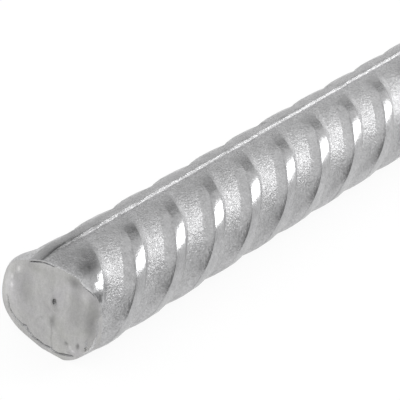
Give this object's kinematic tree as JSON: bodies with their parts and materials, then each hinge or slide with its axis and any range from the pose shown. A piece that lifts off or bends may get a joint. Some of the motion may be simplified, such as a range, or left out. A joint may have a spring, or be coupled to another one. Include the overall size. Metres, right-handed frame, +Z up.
{
  "type": "reinforcing bar",
  "caption": "Straight ribbed steel bar for reinforcing concrete, cut to a short stock length, with slanting crescent ribs between low fins and sheared ends.",
  "frame": {"origin": "on the floor under the middle of the bar", "axes": "+Y along the bar, away from the end that faces the viewer; +Z up; +X to the right of someone looking along +Y"},
  "size_m": [0.016, 0.6026, 0.0158],
  "materials": {
    "bare_steel": "bare grey steel, matt and finely grained between the ribs, rubbed smooth and bright on their crests"
  },
  "bodies": {
    "root": {"ribbed_bar": "bare_steel"}
  },
  "joints": []
}
